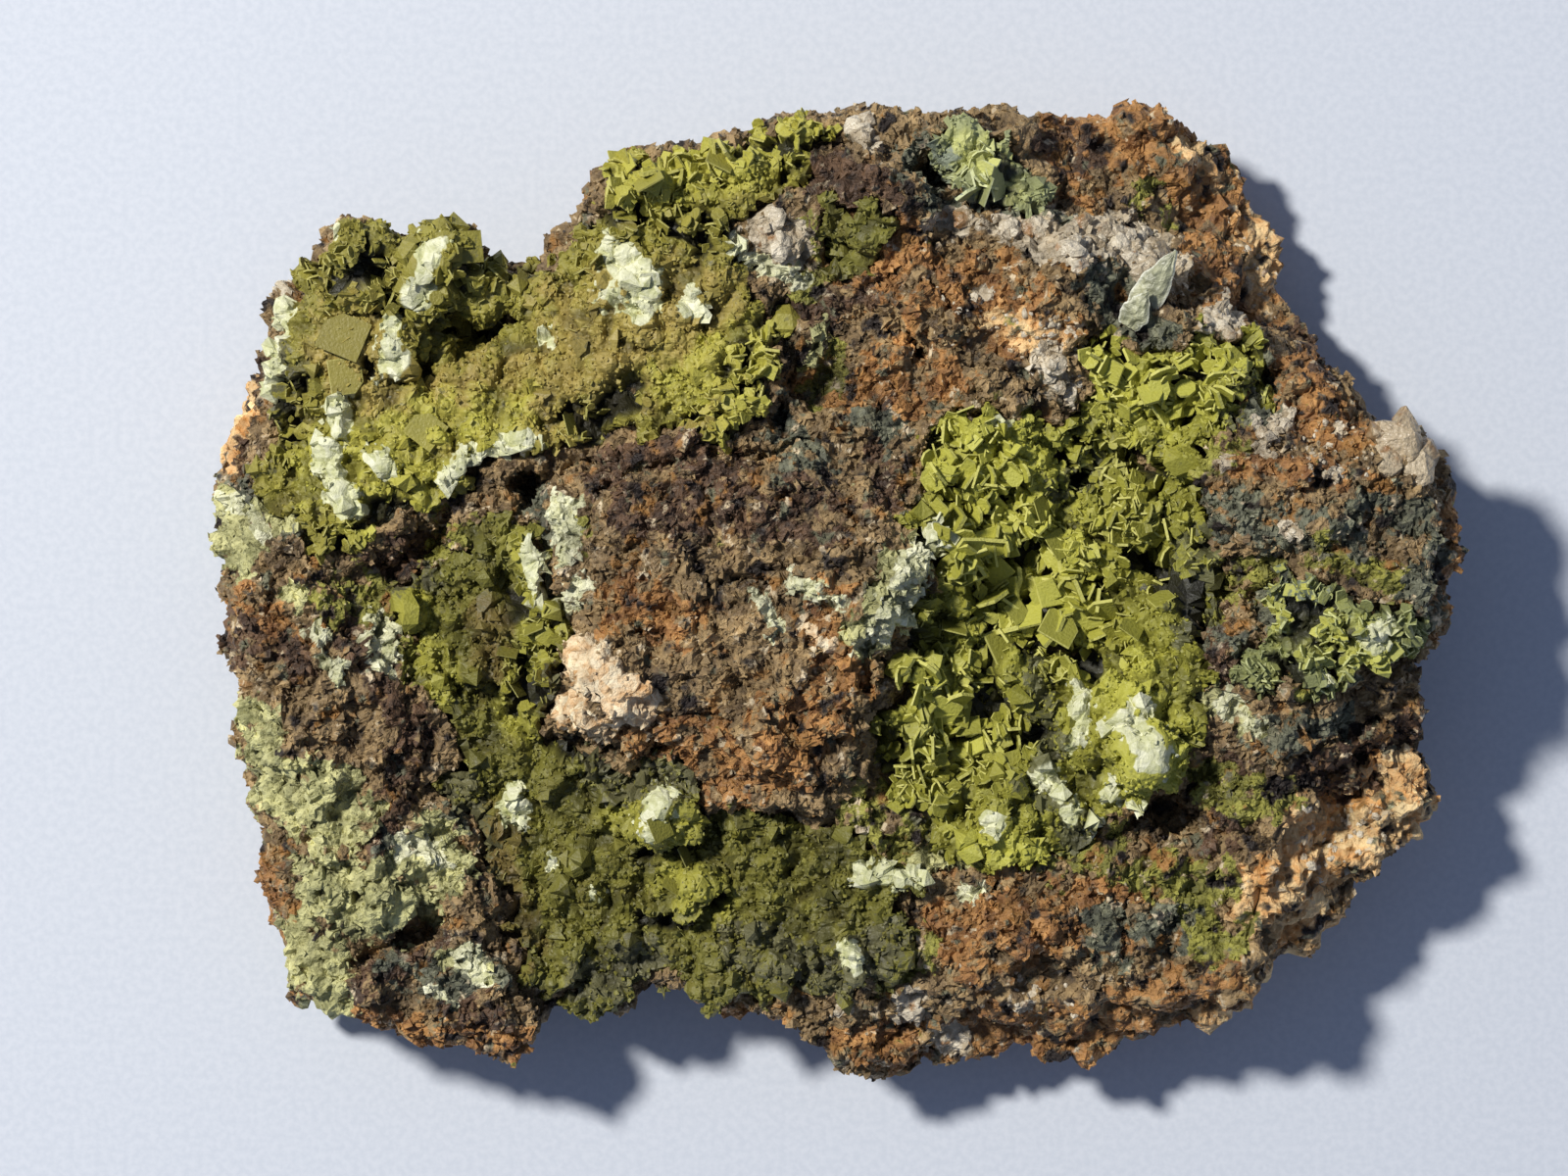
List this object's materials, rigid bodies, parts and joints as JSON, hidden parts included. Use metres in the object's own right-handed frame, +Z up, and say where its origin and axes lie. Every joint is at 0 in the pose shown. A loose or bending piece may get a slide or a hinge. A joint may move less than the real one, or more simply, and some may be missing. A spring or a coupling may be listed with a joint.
{
  "type": "wulfenite specimen on matrix",
  "caption": "Palm-sized block of brown limonite matrix with olive-yellow crusts of thin tabular wulfenite crystals and a little quartz.",
  "frame": {"origin": "on the surface the specimen lies on, under the middle of its box", "axes": "+X to the right of the picture and along the longest extent, +Y to its top, +Z up out of the crusted side"},
  "size_m": [0.1084, 0.0854, 0.0254],
  "materials": {
    "matrix": "rough, crumbly, iron-stained limonite with pale quartz",
    "wulfenite": "crusts of thin plates, resinous faces over a dusty matt ground",
    "wulfenite_dark": "dark olive crust of small plates, dusty and matt",
    "wulfenite_pale": "pale grey-green crust of small plates, matt",
    "quartz": "milky to clear quartz, glassy",
    "pale_crystal": "pale green glassy blades"
  },
  "bodies": {
    "root": {"matrix": "matrix", "crust_upper_left": "wulfenite", "crust_lower_left": "wulfenite_dark", "crust_centre": "wulfenite", "crust_right": "wulfenite_pale", "crust_top": "wulfenite_pale", "crust_top_pocket": "wulfenite_dark", "quartz_right": "quartz", "pale_blades": "pale_crystal"}
  },
  "joints": []
}
